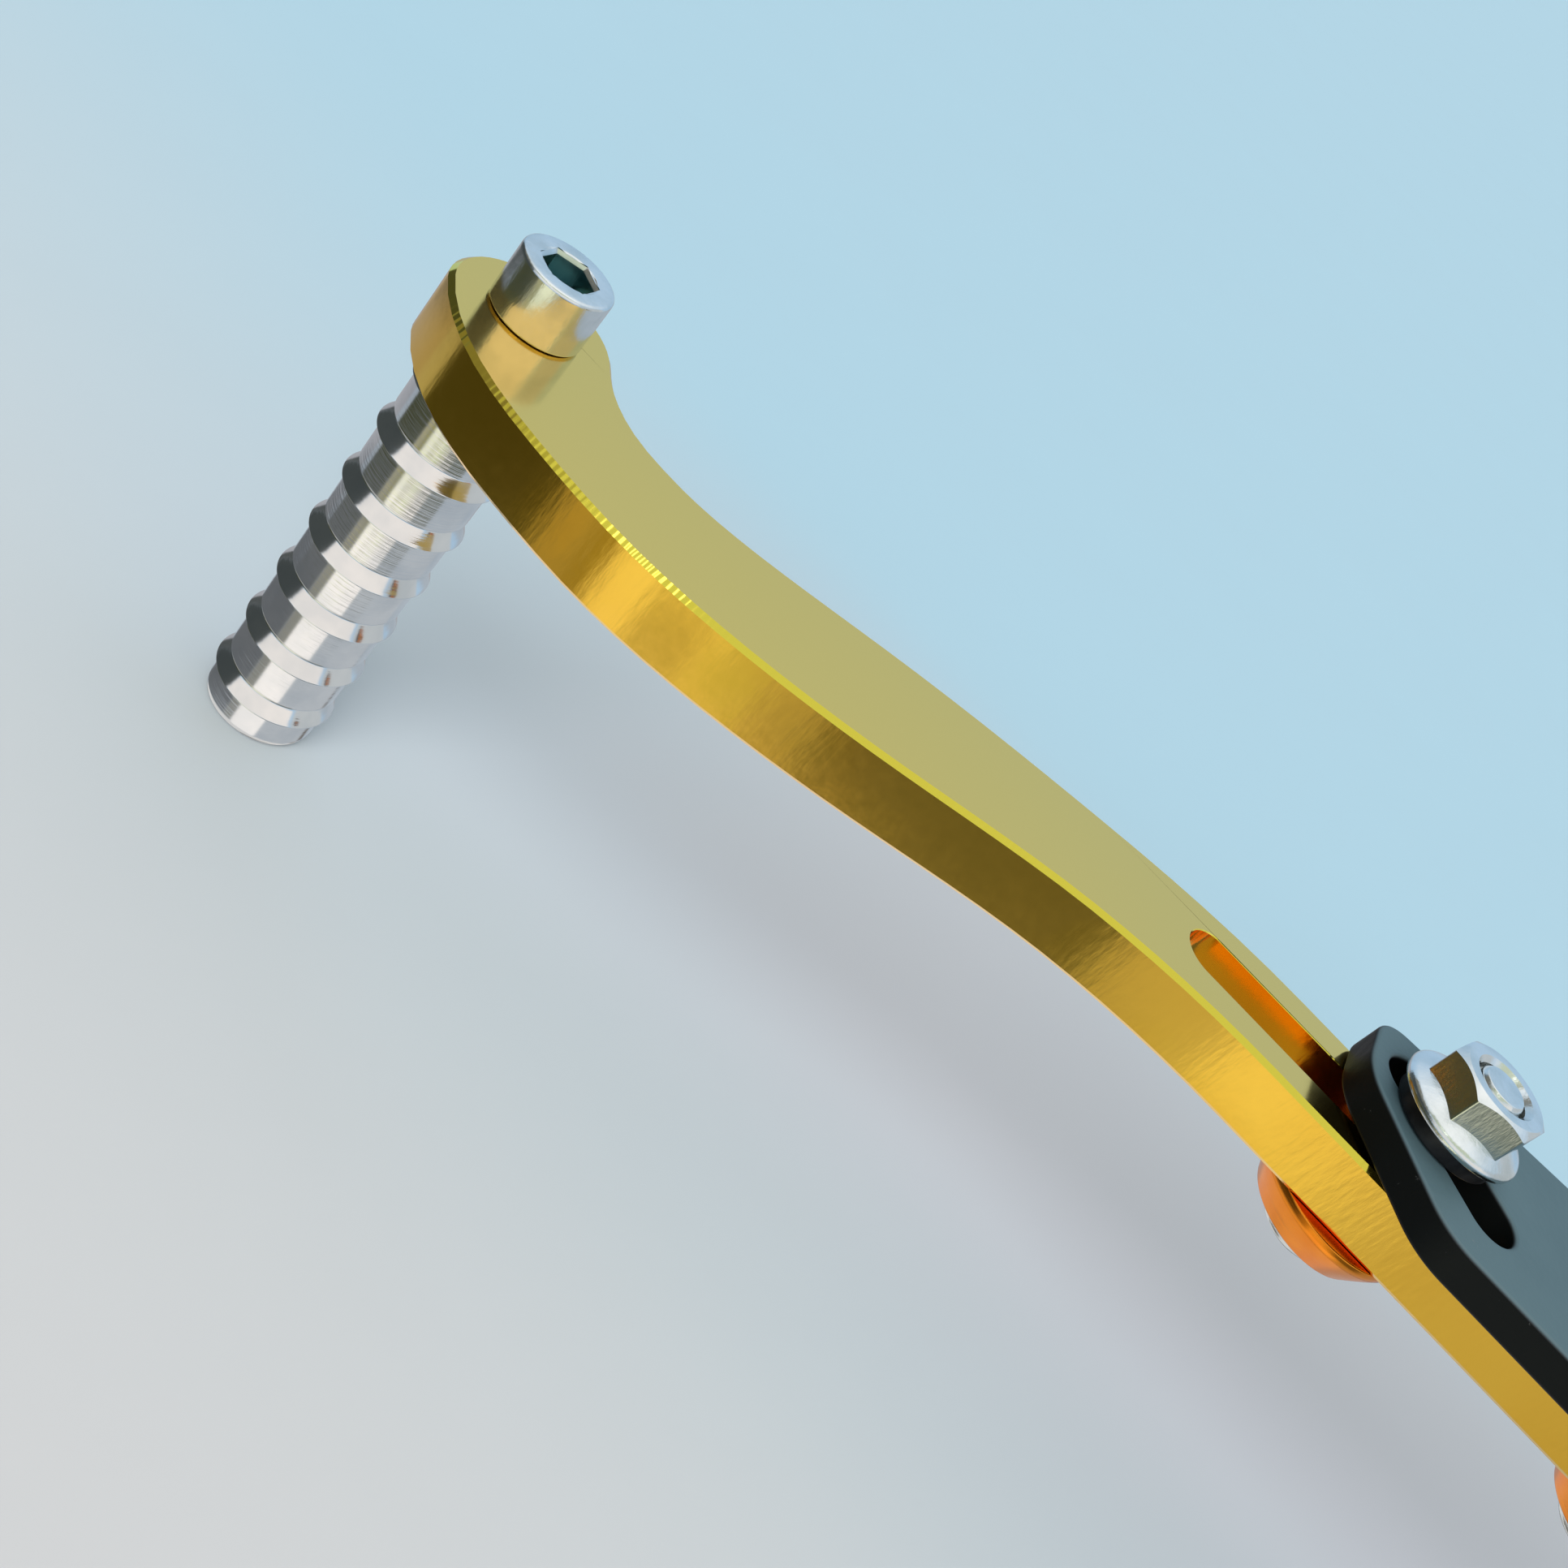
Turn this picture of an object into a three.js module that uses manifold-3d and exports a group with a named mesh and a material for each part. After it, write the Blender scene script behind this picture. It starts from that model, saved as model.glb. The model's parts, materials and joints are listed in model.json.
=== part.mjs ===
// Motorcycle gear shift lever: a milled arm with a barbed toe peg, bolted by its long slot
// under a steel bracket that is welded to a split clamp hub.
// Millimetres. +Z runs along the gear shaft, +X from the toe peg to the shaft.
// The origin is on the shaft axis, level with the arm's top face.
import * as THREE from 'three';
import * as BufferGeometryUtils from 'three/addons/utils/BufferGeometryUtils.js';
import Module from 'manifold-3d';

const wasm = await Module();
wasm.setup();

// ---------- driving dimensions ----------
const gap = 0.3;                // left between neighbouring pieces
const reach = 200;              // toe peg axis to shaft axis, along the slot
const pegDrop = 10;             // toe peg axis to the slot's centre line, across it

// arm
const armThickness = 7.9;
const armWidth = 15.2;          // straight slotted end
const bossWidth = 17.8;         // round the toe peg
const neckWidth = 14.6;         // just past the hook
const bellyWidth = 16.7;        // mid arm
const waistWidth = 14.8;        // just before the slot
const hookRun = 21.5;           // toe peg axis to the hook's lowest point
const hookDepth = 9;
const hookLead = 6.3;           // how far along the hook's curve turns
const neckAt = 16;              // these four are measured from the toe peg axis
const bellyAt = 48;
const waistAt = 75;
const straightAt = 98.5;
const riseLeadIn = 19;          // level stretch at the lower end of the arm's rise
const riseLeadOut = 32;         // and where it comes into line with the slot
const armChamfer = 0.5;
const slotVisible = 25.9;       // slot left free in front of the front bolt
const slotSpare = 3;            // slot left free behind the rear bolt

// bracket
const plateThickness = 4.2;
const plateNear = 14;           // slot's centre line to the plate's -Y edge
const plateFar = 12.6;          // and to its +Y edge
const plateNose = 95.4;         // shaft axis to the plate's front edge
const plateRear = 10.5;         // half width where the plate meets the hub
const plateTaper = 16;          // length of the taper down to that width
const noseHigh = 9.2;           // the nose's far corner, from the slot's centre line
const noseLow = 1.3;            // the nose's near corner, below that line
const noseChamfer = 12.5;       // length of the chamfered near corner along the plate
const noseRise = 29;            // length over which the far edge widens
const plateCorner = 3.5;        // corner rounding
const plateChamfer = 0.6;
const frontBoltReach = 86;      // shaft axis to the front bolt
const boltSpacing = 41.5;
const guideAngle = 35;          // degrees, the plate's slanted slot to the arm's slot
const guideAhead = 8.9;         // travel of a bolt along the slanted slot, hub side
const guideBehind = 4.8;        // and towards the nose

// hub
const hubRadius = 12;
const hubLength = 20;
const shaftRadius = 6;          // tips of the bore's splines
const splineDepth = 0.5;
const splineCount = 24;
const splineMouth = 0.3;        // half a groove's width at the tips, as a share of the pitch
const splineFloor = 0.15;       // and at the roots
const clampSlit = 2;
const lugReach = 23;            // shaft axis to the clamp lugs' ends
const lugHalfWidth = 8;
const pinchReach = 17;          // shaft axis to the pinch bolt's axis

// M6 fasteners
const boltRadius = 2.95;
const boltTip = 0.5;            // chamfer at the end of every shank
const washerRadius = 6;
const washerThickness = 1.6;
const lockWasherRadius = 5.2;
const capHeadRadius = 5;
const capHeadHeight = 6;
const capHeadRound = 0.4;
const capSocket = 5;            // across flats
const buttonRadius = 5.25;
const buttonHeight = 3.3;
const buttonCrown = 2.8;        // radius of the button head's flat top
const buttonRim = 0.6;          // upright edge of the button head
const buttonSocket = 4;
const capSocketDepth = 3;
const buttonSocketDepth = 2.1;
const coneRadius = 9;           // conical washer, at the arm
const coneTipRadius = 6.8;
const coneHeight = 4.4;
const coneRim = 1.4;
const coneFloor = 3.4;          // thickness under the bolt head
const nutFlats = 10;
const nutHeight = 5.5;
const nutFlangeRadius = 7.1;
const nutFlangeEdge = 0.9;      // upright edge of the flange
const nutFlangeHeight = 2.1;
const nutCrownRadius = 4.6;     // flat round the bore, inside the corner chamfers
const nutCrownDrop = 1.4;       // how far those chamfers come down outside the corners
const nutTurn = 7;              // degrees, as the nuts were left after tightening
const boltProud = 0;            // bolt end above the nut's top

// toe peg
const pegRadius = 6.25;
const pegBarbRadius = 6.95;
const pegGrooveRadius = 5.7;
const pegBarbs = 7;
const pegPitch = 7.08;
const pegTopBand = 0.15;        // plain band between the arm and the first barb
const pegBarbCone = 1.9;
const pegStep = 0.25;
const pegEnd = 4.3;             // plain end below the last barb
const pegEndRound = 1;
const pegThreadDepth = 14;      // screw engagement in the peg
const pegBarrelSpare = 2;       // hole left below the screw

const cutOver = 1;              // how far a cutting solid runs past what it cuts

// ---------- worked-out places ----------
const holeRadius = boltRadius + gap;
const pegX = -reach;
const pegY = -pegDrop;
const frontBoltX = -frontBoltReach;
const rearBoltX = frontBoltX + boltSpacing;
const slotFrontX = frontBoltX - slotVisible;
const slotRearX = rearBoltX + slotSpare;
const plateBottom = gap;
const plateTop = plateBottom + plateThickness;
const washerBottom = plateTop + gap;
const nutBottom = washerBottom + washerThickness + gap;
const nutTop = nutBottom + nutHeight;
const coneTop = -armThickness - gap;
const buttonSeat = coneTop - coneFloor - gap;
const hubMiddle = plateBottom + plateThickness / 2;
const pegTop = -armThickness - gap;
const pegFirstBarb = pegTopBand + pegStep + pegBarbCone;
const pegLength = pegFirstBarb + (pegBarbs - 1) * pegPitch + pegEnd;

// ---------- finishes ----------
const goldAnodised = { color: 0xd8ab38, metalness: 0.95, roughness: 0.28 };
const blackSatin = { color: 0x23272b, metalness: 0.4, roughness: 0.45 };
const brightSteel = { color: 0xcdd3d6, metalness: 1, roughness: 0.2 };
const orangeAnodised = { color: 0xdf6d12, metalness: 0.95, roughness: 0.25 };
const darkSteel = { color: 0x3a3d40, metalness: 0.8, roughness: 0.4 };

// ---------- helpers ----------
function solidOf(geometry) {
  const bare = geometry.clone();
  bare.deleteAttribute('normal');
  bare.deleteAttribute('uv');
  const merged = BufferGeometryUtils.mergeVertices(bare, 1e-4);
  return new wasm.Manifold(new wasm.Mesh({
    numProp: 3,
    vertProperties: new Float32Array(merged.attributes.position.array),
    triVerts: new Uint32Array(merged.index.array),
  }));
}

function geometryOf(solid) {
  const mesh = solid.getMesh();
  const geometry = new THREE.BufferGeometry();
  geometry.setAttribute('position', new THREE.BufferAttribute(mesh.vertProperties, 3));
  geometry.setIndex(new THREE.BufferAttribute(mesh.triVerts, 1));
  return geometry;
}

// Spins a profile of [radius, height] pairs, listed from the lowest up the outside, about Z.
function turned(profile, segments = 32) {
  const points = profile.map(([radius, height]) => new THREE.Vector2(radius, height));
  return new THREE.LatheGeometry(points, segments).rotateX(Math.PI / 2);
}

// Quarter round between a level edge at the bottom and an upright one at the top.
function roundedEdge(inner, outer, bottom, top, steps = 3) {
  const points = [];
  for (let i = 0; i <= steps; i++) {
    const turn = (Math.PI / 2) * i / steps;
    const radius = inner + (outer - inner) * Math.sin(turn);
    points.push([radius, top - (top - bottom) * Math.cos(turn)]);
  }
  return points;
}

function disc(radius, bottom, top, segments = 32) {
  return turned([[0, bottom], [radius, bottom], [radius, top], [0, top]], segments);
}

function ring(inner, outer, bottom, top, segments = 32) {
  const profile = [[inner, bottom], [outer, bottom], [outer, top], [inner, top], [inner, bottom]];
  return turned(profile, segments);
}

// Hexagonal prism with two corners on X before it is turned.
function hexagon(acrossFlats, bottom, top, turn = 0) {
  const corner = acrossFlats / Math.sqrt(3);
  return disc(corner, bottom, top, 6).rotateZ(Math.PI / 2 + THREE.MathUtils.degToRad(turn));
}

// A flat plate between two heights, with both its rims chamfered.
function plate(shape, bottom, top, chamfer, curveSegments = 12) {
  const depth = top - bottom - 2 * chamfer;
  const settings = {
    depth,
    curveSegments,
    bevelEnabled: chamfer > 0,
    bevelThickness: chamfer,
    bevelSize: chamfer,
    bevelOffset: -chamfer,
    bevelSegments: 1,
  };
  return new THREE.ExtrudeGeometry(shape, settings).translate(0, 0, bottom + chamfer);
}

function roundHole(x, y, radius) {
  return new THREE.Path().absarc(x, y, radius, 0, 2 * Math.PI, true);
}

// Round-ended slot between two points.
function slotHole(from, to, radius) {
  const heading = Math.atan2(to.y - from.y, to.x - from.x);
  const path = new THREE.Path();
  path.absarc(to.x, to.y, radius, heading + Math.PI / 2, heading - Math.PI / 2, true);
  path.absarc(from.x, from.y, radius, heading - Math.PI / 2, heading - 3 * Math.PI / 2, true);
  path.closePath();
  return path;
}

// Closed outline whose corners, given as [x, y, rounding], are rounded off.
function roundedOutline(corners) {
  const shape = new THREE.Shape();
  corners.forEach(([x, y, rounding], index) => {
    const corner = new THREE.Vector2(x, y);
    const before = new THREE.Vector2(...corners.at(index - 1));
    const after = new THREE.Vector2(...corners[(index + 1) % corners.length]);
    const entry = before.sub(corner).setLength(rounding).add(corner);
    const exit = after.sub(corner).setLength(rounding).add(corner);
    if (index === 0) shape.moveTo(entry.x, entry.y);
    else shape.lineTo(entry.x, entry.y);
    if (rounding > 0) shape.quadraticCurveTo(x, y, exit.x, exit.y);
  });
  shape.closePath();
  return shape;
}

// ---------- arm ----------
// Width at a distance from the toe peg, eased between the named widths.
function armWidthAt(run) {
  const stations = [
    [0, bossWidth],
    [neckAt, neckWidth],
    [bellyAt, bellyWidth],
    [waistAt, waistWidth],
    [straightAt, armWidth],
  ];
  let width = bossWidth;
  for (let i = 1; i < stations.length; i++) {
    const [start, startWidth] = stations[i - 1];
    const [end, endWidth] = stations[i];
    const share = THREE.MathUtils.smoothstep(run, start, end);
    width += (endWidth - startWidth) * share;
  }
  return width;
}

function armOutline() {
  const hook = new THREE.QuadraticBezierCurve(
    new THREE.Vector2(pegX, pegY),
    new THREE.Vector2(pegX + hookLead, pegY - hookDepth),
    new THREE.Vector2(pegX + hookRun, pegY - hookDepth),
  );
  const rise = new THREE.CubicBezierCurve(
    new THREE.Vector2(pegX + hookRun, pegY - hookDepth),
    new THREE.Vector2(pegX + hookRun + riseLeadIn, pegY - hookDepth),
    new THREE.Vector2(pegX + straightAt - riseLeadOut, 0),
    new THREE.Vector2(pegX + straightAt, 0),
  );
  const near = [];
  const far = [];
  const addStations = (curve, count, first) => {
    for (let i = first; i <= count; i++) {
      const point = curve.getPoint(i / count);
      const along = curve.getTangent(i / count);
      const across = new THREE.Vector2(-along.y, along.x);
      across.multiplyScalar(armWidthAt(point.x - pegX) / 2);
      near.push(point.clone().sub(across));
      far.push(point.clone().add(across));
    }
  };
  addStations(hook, 10, 0);
  addStations(rise, 22, 1);
  const shape = new THREE.Shape(near);
  const tailX = rearBoltX + slotSpare;
  shape.absarc(tailX, 0, armWidth / 2, -Math.PI / 2, Math.PI / 2, false);
  far.reverse().forEach((point) => shape.lineTo(point.x, point.y));
  const bossEntry = Math.atan2(far.at(-1).y - pegY, far.at(-1).x - pegX);
  shape.absarc(pegX, pegY, bossWidth / 2, bossEntry, bossEntry + Math.PI, false);
  return shape;
}

function shiftArm() {
  const shape = armOutline();
  const slotFront = new THREE.Vector2(slotFrontX, 0);
  const slotRear = new THREE.Vector2(slotRearX, 0);
  shape.holes.push(roundHole(pegX, pegY, holeRadius));
  shape.holes.push(slotHole(slotFront, slotRear, holeRadius));
  return plate(shape, -armThickness, 0, armChamfer);
}

// ---------- toe peg and its screw ----------
function toePeg() {
  const bottom = -pegLength;
  const profile = [
    [0, bottom],
    ...roundedEdge(pegRadius - pegEndRound, pegRadius, bottom, bottom + pegEndRound),
  ];
  for (let barb = pegBarbs - 1; barb >= 0; barb--) {
    const lip = -pegFirstBarb - barb * pegPitch;
    profile.push([pegRadius, lip - pegStep]);
    profile.push([pegBarbRadius, lip]);
    profile.push([pegGrooveRadius, lip + pegBarbCone]);
    profile.push([pegRadius, lip + pegBarbCone + pegStep]);
  }
  profile.push([pegRadius, 0]);
  profile.push([holeRadius, 0]);
  profile.push([holeRadius, -pegThreadDepth - pegBarrelSpare]);
  profile.push([0, -pegThreadDepth - pegBarrelSpare]);
  return turned(profile, 36);
}

// Socket cap screw with its head's seat at height 0 and its shank going down.
function capScrew(shankLength) {
  const outside = turned([
    [0, -shankLength],
    [boltRadius - boltTip, -shankLength],
    [boltRadius, -shankLength + boltTip],
    [boltRadius, 0],
    [capHeadRadius, 0],
    [capHeadRadius, capHeadHeight - capHeadRound],
    [capHeadRadius - capHeadRound, capHeadHeight],
    [0, capHeadHeight],
  ]);
  const socket = hexagon(capSocket, capHeadHeight - capSocketDepth, capHeadHeight + cutOver);
  return geometryOf(solidOf(outside).subtract(solidOf(socket)));
}

// ---------- slot fasteners, each modelled on its bolt's axis ----------
function slotBolt() {
  const headBottom = buttonSeat - buttonHeight;
  const outside = turned([
    [0, headBottom],
    ...roundedEdge(buttonCrown, buttonRadius, headBottom, buttonSeat - buttonRim),
    [buttonRadius, buttonSeat],
    [boltRadius, buttonSeat],
    [boltRadius, nutTop + boltProud - boltTip],
    [boltRadius - boltTip, nutTop + boltProud],
    [0, nutTop + boltProud],
  ]);
  const socket = hexagon(buttonSocket, headBottom - cutOver, headBottom + buttonSocketDepth);
  return geometryOf(solidOf(outside).subtract(solidOf(socket)));
}

function coneWasher() {
  const bottom = coneTop - coneHeight;
  const seat = coneTop - coneFloor;
  const recess = buttonRadius + gap;
  return turned([
    [recess, bottom],
    ...roundedEdge(coneTipRadius, coneRadius, bottom, coneTop - coneRim),
    [coneRadius, coneTop],
    [holeRadius, coneTop],
    [holeRadius, seat],
    [recess, seat],
    [recess, bottom],
  ], 40);
}

function flangeNut() {
  const outer = nutFlats / Math.sqrt(3) + cutOver;
  const flange = turned([
    [0, nutBottom],
    [nutFlangeRadius, nutBottom],
    [nutFlangeRadius, nutBottom + nutFlangeEdge],
    [nutFlats / 2, nutBottom + nutFlangeHeight],
    [0, nutBottom + nutFlangeHeight],
  ], 36);
  const dome = turned([
    [0, nutBottom],
    [outer, nutBottom],
    [outer, nutTop - nutCrownDrop],
    [nutCrownRadius, nutTop],
    [0, nutTop],
  ], 36);
  const hex = solidOf(hexagon(nutFlats, nutBottom + nutFlangeEdge / 2, nutTop, nutTurn));
  const bore = solidOf(disc(holeRadius, nutBottom - cutOver, nutTop + cutOver));
  const nut = solidOf(flange).add(hex.intersect(solidOf(dome)));
  return geometryOf(nut.subtract(bore));
}

// ---------- bracket ----------
function bracketPlate() {
  const front = -plateNose;
  const guide = THREE.MathUtils.degToRad(guideAngle);
  const mouth = hubRadius + gap;
  const mouthX = -Math.sqrt(mouth ** 2 - plateRear ** 2);
  const taperX = mouthX - plateTaper;
  const shape = roundedOutline([
    [front, noseHigh, plateCorner],
    [front, -noseLow, plateCorner],
    [front + noseChamfer, -plateNear, plateCorner],
    [taperX, -plateNear, plateCorner],
    [mouthX, -plateRear, 0],
    ...mouthArc(mouth, mouthX),
    [mouthX, plateRear, 0],
    [taperX, plateFar, plateCorner],
    [front + noseRise, plateFar, plateCorner],
  ]);
  const along = new THREE.Vector2(Math.cos(guide), -Math.sin(guide));
  const bolt = new THREE.Vector2(frontBoltX, 0);
  const guideFront = bolt.clone().addScaledVector(along, -guideBehind);
  const guideRear = bolt.clone().addScaledVector(along, guideAhead);
  shape.holes.push(slotHole(guideFront, guideRear, holeRadius));
  shape.holes.push(roundHole(rearBoltX, 0, holeRadius));
  return plate(shape, plateBottom, plateTop, plateChamfer);
}

// The hollow end of the plate that fits round the hub.
function mouthArc(radius, mouthX) {
  const steps = 12;
  const start = Math.atan2(-plateRear, mouthX);
  const sweep = 2 * (Math.PI + start);
  const points = [];
  for (let i = 1; i < steps; i++) {
    const angle = start - sweep * i / steps;
    points.push([radius * Math.cos(angle), radius * Math.sin(angle), 0]);
  }
  return points;
}

// ---------- clamp hub ----------
function clampHub() {
  const rootRadius = shaftRadius + splineDepth;
  const slit = clampSlit / 2;
  const slitAngle = Math.asin(slit / shaftRadius);
  const lugAngle = Math.asin(lugHalfWidth / hubRadius);
  const shape = new THREE.Shape();
  shape.moveTo(lugReach, -lugHalfWidth);
  shape.lineTo(lugReach, -slit);
  shape.lineTo(shaftRadius * Math.cos(slitAngle), -slit);
  const groove = [
    [splineMouth, shaftRadius],
    [splineFloor, rootRadius],
    [-splineFloor, rootRadius],
    [-splineMouth, shaftRadius],
  ];
  for (let tooth = splineCount - 1; tooth > 0; tooth--) {
    for (const [share, radius] of groove) {
      const angle = 2 * Math.PI * (tooth + share) / splineCount;
      shape.lineTo(radius * Math.cos(angle), radius * Math.sin(angle));
    }
  }
  shape.lineTo(shaftRadius * Math.cos(slitAngle), slit);
  shape.lineTo(lugReach, slit);
  shape.lineTo(lugReach, lugHalfWidth);
  shape.absarc(0, 0, hubRadius, lugAngle, 2 * Math.PI - lugAngle, false);
  shape.closePath();
  const bottom = hubMiddle - hubLength / 2;
  const body = solidOf(plate(shape, bottom, bottom + hubLength, 0, 24));
  const hole = disc(holeRadius, -lugHalfWidth - cutOver, lugHalfWidth + cutOver);
  hole.rotateX(Math.PI / 2).translate(pinchReach, 0, hubMiddle);
  return geometryOf(body.subtract(solidOf(hole)));
}

// ---------- assembly ----------
const lever = new THREE.Group();

function addPiece(name, geometry, finish, parent = lever) {
  const mesh = new THREE.Mesh(geometry, new THREE.MeshStandardMaterial(finish));
  mesh.name = name;
  parent.add(mesh);
  return mesh;
}

addPiece('shift_arm', shiftArm(), goldAnodised);
addPiece('toe_peg', toePeg(), brightSteel).position.set(pegX, pegY, pegTop);
const pegScrewLength = armThickness + 2 * gap + pegThreadDepth;
addPiece('peg_screw', capScrew(pegScrewLength), brightSteel).position.set(pegX, pegY, gap);

addPiece('bracket_plate', bracketPlate(), blackSatin);
addPiece('clamp_hub', clampHub(), blackSatin);

// The pinch bolt lies across the slit, with its head on the +Y lug.
const pinch = new THREE.Group();
pinch.position.set(pinchReach, lugHalfWidth + gap, hubMiddle);
pinch.rotation.x = -Math.PI / 2;
lever.add(pinch);
const pinchWasher = ring(holeRadius, lockWasherRadius, 0, washerThickness);
addPiece('pinch_washer', pinchWasher, brightSteel, pinch);
const pinchScrewLength = 2 * lugHalfWidth + 2 * gap + washerThickness;
const pinchScrew = addPiece('pinch_bolt', capScrew(pinchScrewLength), brightSteel, pinch);
pinchScrew.position.z = washerThickness + gap;

for (const [end, x] of [['front', frontBoltX], ['rear', rearBoltX]]) {
  const stack = new THREE.Group();
  stack.position.x = x;
  lever.add(stack);
  addPiece(`${end}_slot_bolt`, slotBolt(), brightSteel, stack);
  addPiece(`${end}_cone_washer`, coneWasher(), orangeAnodised, stack);
  const flatWasher = ring(holeRadius, washerRadius, washerBottom, washerBottom + washerThickness);
  addPiece(`${end}_flat_washer`, flatWasher, darkSteel, stack);
  addPiece(`${end}_flange_nut`, flangeNut(), brightSteel, stack);
}

export default lever;
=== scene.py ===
"""Motorcycle gear shift lever, finished for close views.

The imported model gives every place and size. Each piece here is modelled over its node, a little
finer, and rides on the same body. Metres, +Z along the gear shaft.
"""
import json
import math

import bpy
from mathutils import Matrix, Vector

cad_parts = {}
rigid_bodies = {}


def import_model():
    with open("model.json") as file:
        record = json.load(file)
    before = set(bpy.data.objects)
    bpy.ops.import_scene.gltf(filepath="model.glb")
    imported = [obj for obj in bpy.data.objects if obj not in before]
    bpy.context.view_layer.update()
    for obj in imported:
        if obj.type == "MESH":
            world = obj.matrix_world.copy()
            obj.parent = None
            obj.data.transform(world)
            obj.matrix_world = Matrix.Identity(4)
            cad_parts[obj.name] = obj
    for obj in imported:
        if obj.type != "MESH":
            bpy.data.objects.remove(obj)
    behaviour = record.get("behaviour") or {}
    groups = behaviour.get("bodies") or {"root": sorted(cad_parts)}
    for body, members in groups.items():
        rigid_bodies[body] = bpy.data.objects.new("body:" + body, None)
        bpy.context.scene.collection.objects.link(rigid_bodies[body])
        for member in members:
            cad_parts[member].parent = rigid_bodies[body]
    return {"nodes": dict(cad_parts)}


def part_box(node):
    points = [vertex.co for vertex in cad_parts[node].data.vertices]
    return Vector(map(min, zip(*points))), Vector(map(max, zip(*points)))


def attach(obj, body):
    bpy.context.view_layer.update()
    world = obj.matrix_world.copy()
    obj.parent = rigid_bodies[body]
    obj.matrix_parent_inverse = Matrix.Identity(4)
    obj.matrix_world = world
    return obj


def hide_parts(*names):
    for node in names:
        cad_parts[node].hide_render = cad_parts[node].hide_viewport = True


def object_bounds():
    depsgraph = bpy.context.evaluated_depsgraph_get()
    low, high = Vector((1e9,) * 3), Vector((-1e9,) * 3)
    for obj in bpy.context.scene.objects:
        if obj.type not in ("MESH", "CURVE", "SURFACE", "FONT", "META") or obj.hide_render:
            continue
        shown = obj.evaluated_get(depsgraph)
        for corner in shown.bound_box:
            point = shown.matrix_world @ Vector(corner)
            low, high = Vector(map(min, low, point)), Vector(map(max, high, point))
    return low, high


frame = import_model()
cad_low, cad_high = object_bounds()

MM = 0.001
FULL_TURN = 2 * math.pi
DOWN = -1
UP = 1


# ---------- modelling by hand ----------
def clear_selection():
    bpy.ops.object.select_all(action="DESELECT")


def pick(piece):
    clear_selection()
    piece.select_set(True)
    bpy.context.view_layer.objects.active = piece


def named(name):
    piece = bpy.context.object
    piece.name = name
    piece.data.name = name
    return piece


def place_in_mesh(piece):
    pick(piece)
    bpy.ops.object.transform_apply(location=True, rotation=True, scale=True)


def apply_modifier(piece, kind, **settings):
    pick(piece)
    modifier = piece.modifiers.new(kind.lower(), kind)
    for setting, value in settings.items():
        setattr(modifier, setting, value)
    bpy.ops.object.modifier_apply(modifier=modifier.name)


def cut(piece, tool, operation="DIFFERENCE"):
    apply_modifier(piece, "BOOLEAN", object=tool, operation=operation, solver="EXACT")
    bpy.data.objects.remove(tool)


def choose(piece, kind, wanted):
    """Leaves the piece in edit mode with only the wanted faces or edges selected."""
    pick(piece)
    bpy.ops.object.mode_set(mode="EDIT")
    bpy.ops.mesh.select_mode(type=kind)
    bpy.ops.mesh.select_all(action="DESELECT")
    bpy.ops.object.mode_set(mode="OBJECT")
    parts = piece.data.polygons if kind == "FACE" else piece.data.edges
    for part in parts:
        part.select = wanted(part)
    bpy.ops.object.mode_set(mode="EDIT")


def smooth(piece, degrees=30):
    """Smooth shading over edges up to this angle, with the large faces kept flat."""
    pick(piece)
    bpy.ops.object.shade_smooth_by_angle(angle=math.radians(degrees))
    apply_modifier(piece, "WEIGHTED_NORMAL", keep_sharp=True)


def mend(piece):
    """Merges doubled corners and turns every face outwards."""
    pick(piece)
    bpy.ops.object.mode_set(mode="EDIT")
    bpy.ops.mesh.select_mode(type="VERT")
    bpy.ops.mesh.select_all(action="SELECT")
    bpy.ops.mesh.remove_doubles(threshold=0.001 * MM)
    bpy.ops.mesh.normals_make_consistent(inside=False)
    bpy.ops.object.mode_set(mode="OBJECT")


def rounded(corners, steps=4):
    """Profile points from corners given as (radius, height, rounding), in millimetres."""
    points = []
    for index, (radius, height, rounding) in enumerate(corners):
        corner = Vector((radius, height))
        if rounding == 0:
            points.append(corner)
            continue
        before = Vector(corners[index - 1][:2]) - corner
        after = Vector(corners[(index + 1) % len(corners)][:2]) - corner
        entry = corner + before.normalized() * rounding
        leaving = corner + after.normalized() * rounding
        for step in range(steps + 1):
            share = step / steps
            first = entry.lerp(corner, share)
            points.append(first.lerp(corner.lerp(leaving, share), share))
    return points


def turned(name, corners, axis, sides=96, steps=4):
    """Round piece on an upright axis, from the corners of its closed half section."""
    points = [Vector((radius, 0, height)) * MM for radius, height in rounded(corners, steps)]
    clear_selection()
    bpy.ops.mesh.primitive_plane_add(size=MM, location=axis + points[0])
    piece = named(name)
    bpy.ops.object.mode_set(mode="EDIT")
    bpy.ops.mesh.select_mode(type="VERT")
    bpy.ops.mesh.select_all(action="SELECT")
    bpy.ops.mesh.merge(type="CENTER")
    for here, there in zip(points, points[1:]):
        bpy.ops.mesh.extrude_region_move(TRANSFORM_OT_translate={"value": there - here})
    bpy.ops.mesh.select_all(action="SELECT")
    bpy.ops.mesh.spin(steps=sides, angle=FULL_TURN, center=axis, axis=(0, 0, 1))
    bpy.ops.object.mode_set(mode="OBJECT")
    place_in_mesh(piece)
    mend(piece)
    return piece


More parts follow.
